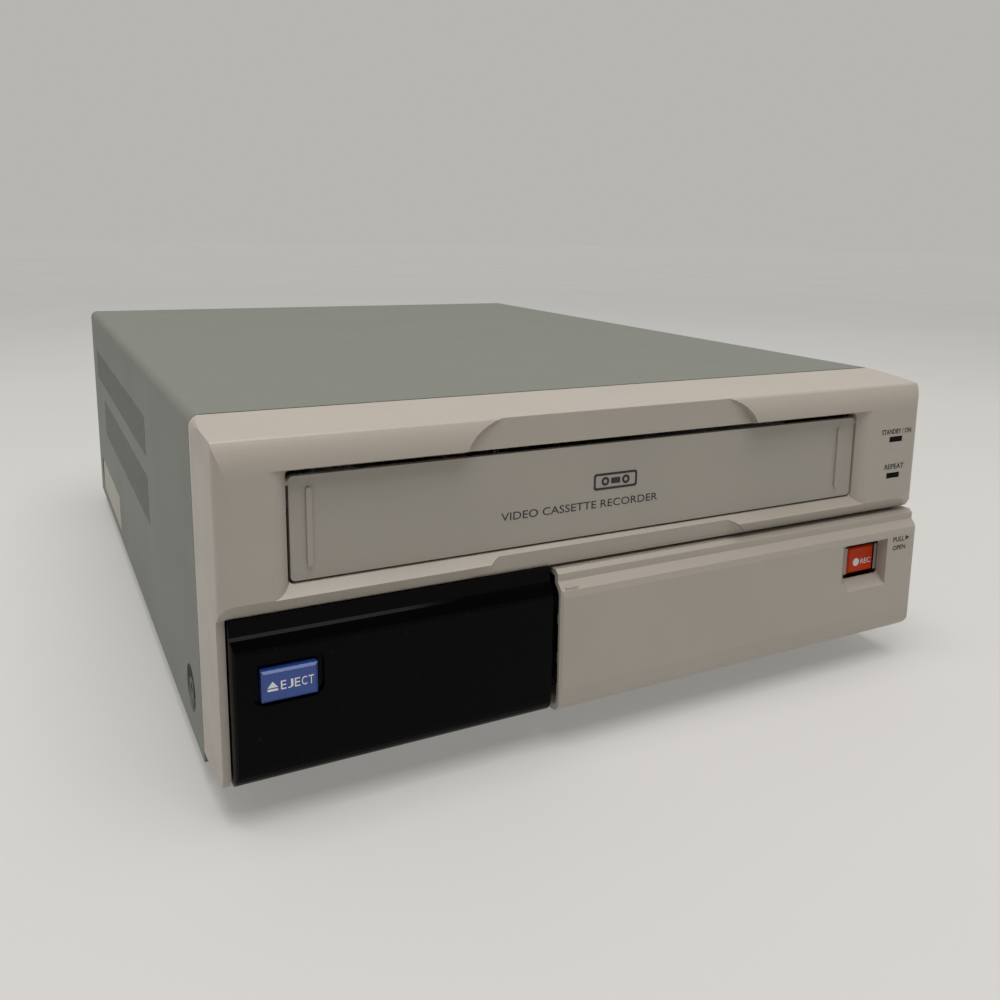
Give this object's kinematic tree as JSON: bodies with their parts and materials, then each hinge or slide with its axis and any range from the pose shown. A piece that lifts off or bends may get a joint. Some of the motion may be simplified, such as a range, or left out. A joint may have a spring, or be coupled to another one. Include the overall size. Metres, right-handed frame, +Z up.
{
  "type": "video cassette recorder",
  "caption": "Compact security video cassette recorder with a sprung cassette flap, smoked display window, hinged front door and a complete tape mechanism inside.",
  "frame": {"origin": "centre of the bounding box's underside, on the surface the feet stand on", "axes": "+Z up, -Y out of the front, +X to the right seen from the front"},
  "size_m": [0.2422, 0.352, 0.103],
  "materials": {
    "cover_paint": "fine textured matt grey-green paint",
    "bezel_plastic": "fine spark-eroded warm grey plastic",
    "flap_plastic": "fine spark-eroded warm grey plastic",
    "gloss_black": "polished black",
    "dark_plastic": "matt dark plastic",
    "key_plastic": "matt grey plastic",
    "blue_plastic": "satin blue plastic",
    "orange_plastic": "satin orange-red plastic",
    "zinc_steel": "zinc-plated sheet",
    "screw_steel": "plated screw steel",
    "screw_dark": "painted screw",
    "chrome_steel": "polished pin steel",
    "drum_aluminium": "turned aluminium",
    "motor_steel": "pressed motor can",
    "bearing_brass": "sintered brass",
    "rubber_black": "moulded rubber",
    "label_paper": "plain matt label",
    "gear_acetal": "natural acetal",
    "board_green": "solder resist on glass fibre",
    "board_brown": "bare phenolic board",
    "part_sleeve": "shrink sleeve",
    "display_glass": "display tube glass",
    "tin_plate": "tin plate"
  },
  "bodies": {
    "case": {"top_cover": "cover_paint", "bottom_chassis": "zinc_steel", "rear_panel": "zinc_steel", "front_bezel": "bezel_plastic", "display_window": "gloss_black", "side_label": "label_paper", "feet": "rubber_black", "side_screws": "screw_dark", "rear_screws": "screw_steel", "indicator_leds": "gloss_black", "flap_spring": "chrome_steel", "door_magnet": "dark_plastic", "control_panel": "dark_plastic", "front_board": "board_green", "button_switches": "gear_acetal", "display_module": "display_glass", "deck_plate": "zinc_steel", "deck_posts": "zinc_steel", "chassis_screws": "screw_steel", "lift_brackets": "zinc_steel", "drum_base": "drum_aluminium", "lower_drum": "drum_aluminium", "capstan_bearing": "bearing_brass", "erase_head": "motor_steel", "audio_head": "motor_steel", "loading_motor": "motor_steel", "reel_belt": "rubber_black", "main_board": "board_green", "capacitors": "part_sleeve", "shield_can": "tin_plate", "power_board": "board_brown", "heat_sink": "dark_plastic", "bnc_jacks": "chrome_steel", "audio_jacks": "bearing_brass", "terminal_block": "dark_plastic", "dc_inlet": "dark_plastic"},
    "flap": {"cassette_flap": "flap_plastic"},
    "door": {"front_door": "bezel_plastic", "door_strike": "tin_plate", "door_hinge_pins": "chrome_steel"},
    "eject_key": {"eject_button": "blue_plastic"},
    "rec_key": {"rec_button": "orange_plastic"},
    "rewind_key": {"rewind_button": "key_plastic"},
    "play_key": {"play_button": "key_plastic"},
    "forward_key": {"forward_button": "key_plastic"},
    "stop_key": {"stop_button": "key_plastic"},
    "pause_key": {"pause_button": "key_plastic"},
    "holder": {"cassette_holder": "tin_plate"},
    "supply": {"supply_reel": "gear_acetal"},
    "takeup": {"takeup_reel": "dark_plastic"},
    "drum": {"upper_drum": "drum_aluminium"},
    "capstan_unit": {"capstan": "motor_steel"},
    "clutch": {"clutch_pulley": "dark_plastic"},
    "pinch": {"pinch_arm": "zinc_steel"},
    "roller": {"pinch_roller": "rubber_black"},
    "left_guide_unit": {"left_guide": "chrome_steel"},
    "right_guide_unit": {"right_guide": "chrome_steel"},
    "tension": {"tension_arm": "tin_plate"},
    "cam": {"cam_gear": "gear_acetal"}
  },
  "joints": [
    {"name": "flap_hinge", "type": "hinge", "parent": "case", "child": "flap", "pos_m": [-0.00535, -0.1694, 0.0886], "axis": [1, 0, 0], "range_deg": [0, 80], "stiffness_Nm_per_rad": 0.008, "springref_deg": -20.05},
    {"name": "door_hinge", "type": "hinge", "parent": "case", "child": "door", "pos_m": [-0.0232, -0.1726, 0.03285], "axis": [0, 0, -1], "range_deg": [0, 90]},
    {"name": "eject_press", "type": "slide", "parent": "case", "child": "eject_key", "axis": [0, 1, 0], "range_m": [0, 0.0012], "stiffness_N_per_m": 600, "springref_m": -0.0008},
    {"name": "rec_press", "type": "slide", "parent": "case", "child": "rec_key", "axis": [0, 1, 0], "range_m": [0, 0.0012], "stiffness_N_per_m": 600, "springref_m": -0.0008},
    {"name": "rewind_press", "type": "slide", "parent": "case", "child": "rewind_key", "axis": [0, 1, 0], "range_m": [0, 0.0012], "stiffness_N_per_m": 600, "springref_m": -0.0008},
    {"name": "play_press", "type": "slide", "parent": "case", "child": "play_key", "axis": [0, 1, 0], "range_m": [0, 0.0012], "stiffness_N_per_m": 600, "springref_m": -0.0008},
    {"name": "forward_press", "type": "slide", "parent": "case", "child": "forward_key", "axis": [0, 1, 0], "range_m": [0, 0.0012], "stiffness_N_per_m": 600, "springref_m": -0.0008},
    {"name": "stop_press", "type": "slide", "parent": "case", "child": "stop_key", "axis": [0, 1, 0], "range_m": [0, 0.0012], "stiffness_N_per_m": 600, "springref_m": -0.0008},
    {"name": "pause_press", "type": "slide", "parent": "case", "child": "pause_key", "axis": [0, 1, 0], "range_m": [0, 0.0012], "stiffness_N_per_m": 600, "springref_m": -0.0008},
    {"name": "holder_lift", "type": "slide", "parent": "case", "child": "holder", "axis": [0, 0, -1], "range_m": [0, 0.027]},
    {"name": "supply_spin", "type": "hinge", "parent": "case", "child": "supply", "pos_m": [-0.05135, -0.086, 0.03], "axis": [0, 0, 1], "continuous": true},
    {"name": "takeup_spin", "type": "hinge", "parent": "case", "child": "takeup", "pos_m": [0.04065, -0.086, 0.03], "axis": [0, 0, 1], "continuous": true},
    {"name": "drum_spin", "type": "hinge", "parent": "case", "child": "drum", "pos_m": [-0.01335, 0.014, 0.033], "axis": [0, 0.1045, 0.9945], "continuous": true},
    {"name": "capstan_spin", "type": "hinge", "parent": "case", "child": "capstan_unit", "pos_m": [0.05865, -0.022, 0.02], "axis": [0, 0, 1], "continuous": true},
    {"name": "clutch_spin", "type": "hinge", "parent": "case", "child": "clutch", "pos_m": [-0.00535, -0.086, 0.02], "axis": [0, 0, 1], "continuous": true},
    {"name": "pinch_swing", "type": "hinge", "parent": "case", "child": "pinch", "pos_m": [0.08265, -0.0139, 0.036], "axis": [0, 0, 1], "range_deg": [0, 30], "stiffness_Nm_per_rad": 0.02},
    {"name": "roller_spin", "type": "hinge", "parent": "pinch", "child": "roller", "pos_m": [0.06187, -0.0019, 0.046], "axis": [0, 0, 1], "continuous": true},
    {"name": "cam_turn", "type": "hinge", "parent": "case", "child": "cam", "pos_m": [-0.07935, 0.038, 0.03], "axis": [0, 0, 1], "range_deg": [0, 150]},
    {"name": "left_guide_slide", "type": "slide", "parent": "case", "child": "left_guide_unit", "axis": [0, 1, 0], "range_m": [0, 0.03]},
    {"name": "right_guide_slide", "type": "slide", "parent": "case", "child": "right_guide_unit", "axis": [0, 1, 0], "range_m": [0, 0.03]},
    {"name": "tension_swing", "type": "hinge", "parent": "case", "child": "tension", "pos_m": [-0.09335, -0.02, 0.031], "axis": [0, 0, 1], "range_deg": [-12, 12], "stiffness_Nm_per_rad": 0.01}
  ],
  "couplings": [
    {"joint": "clutch_spin", "follows": "capstan_spin", "ratio": 0.5},
    {"joint": "left_guide_slide", "follows": "cam_turn", "m_per_rad": 0.011459},
    {"joint": "right_guide_slide", "follows": "cam_turn", "m_per_rad": 0.011459}
  ]
}
